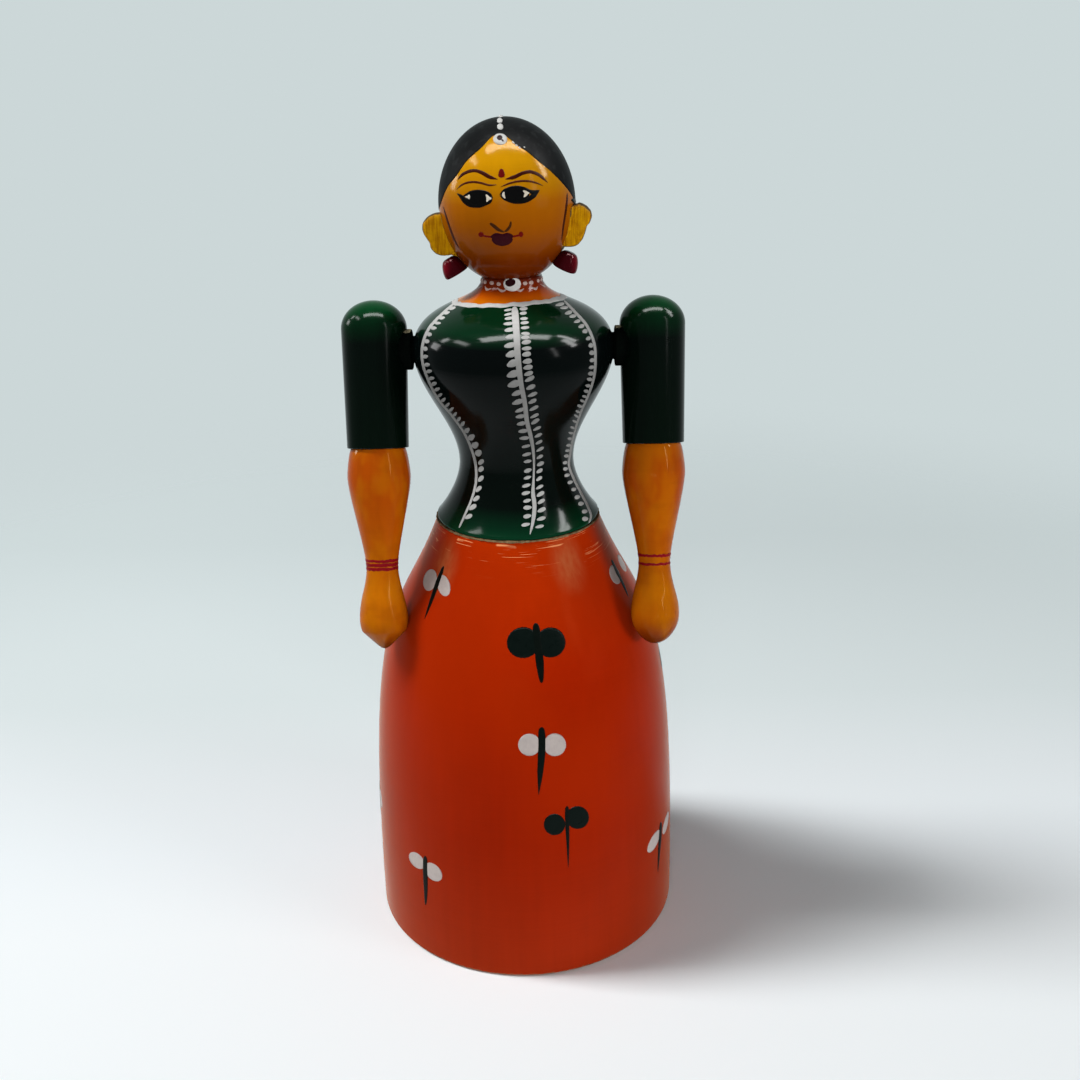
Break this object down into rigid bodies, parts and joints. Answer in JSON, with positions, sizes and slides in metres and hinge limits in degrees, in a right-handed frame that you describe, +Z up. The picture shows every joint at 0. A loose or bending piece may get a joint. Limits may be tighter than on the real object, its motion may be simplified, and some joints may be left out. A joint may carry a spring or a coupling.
{
  "type": "wooden doll",
  "caption": "Lathe-turned lacquered wooden doll of a woman in a long skirt, with carved ears, bead earrings and arms that swing on shoulder pins.",
  "frame": {"origin": "centre of the flat foot that the doll stands on", "axes": "+Z up along the doll's axis, the doll looks along -Y, its own left is at +X"},
  "size_m": [0.102, 0.1, 0.2553],
  "materials": {
    "skirt_lac": "glossy orange-red lac over turned wood",
    "blouse_lac": "glossy bottle-green lac over turned wood",
    "face_lac": "glossy ochre lac over turned wood",
    "arm_lac": "glossy amber lac over turned wood",
    "ear_paint": "brushed yellow paint, worn at the edges",
    "bead_lac": "glossy crimson lac",
    "bare_wood": "bare turned wood",
    "black_paint": "brushed black paint",
    "white_paint": "brushed off-white paint",
    "red_paint": "brushed dark red paint",
    "green_paint": "brushed dark green paint"
  },
  "bodies": {
    "doll": {"skirt": "skirt_lac", "torso": "blouse_lac", "waist_dowel": "bare_wood", "head": "face_lac", "neck_dowel": "bare_wood", "left_ear": "ear_paint", "right_ear": "ear_paint", "left_earring": "bead_lac", "right_earring": "bead_lac"},
    "left_arm": {"left_sleeve": "blouse_lac", "left_forearm": "arm_lac", "left_elbow_dowel": "bare_wood", "left_shoulder_pin": "blouse_lac"},
    "right_arm": {"right_sleeve": "blouse_lac", "right_forearm": "arm_lac", "right_elbow_dowel": "bare_wood", "right_shoulder_pin": "blouse_lac"}
  },
  "joints": [
    {"name": "left_arm_swing", "type": "hinge", "parent": "doll", "child": "left_arm", "pos_m": [0.0298, 0, 0.1905], "axis": [-1, 0, 0], "range_deg": [0, 329.5]},
    {"name": "right_arm_swing", "type": "hinge", "parent": "doll", "child": "right_arm", "pos_m": [-0.0298, 0, 0.1905], "axis": [-1, 0, 0], "range_deg": [0, 329.5]}
  ]
}
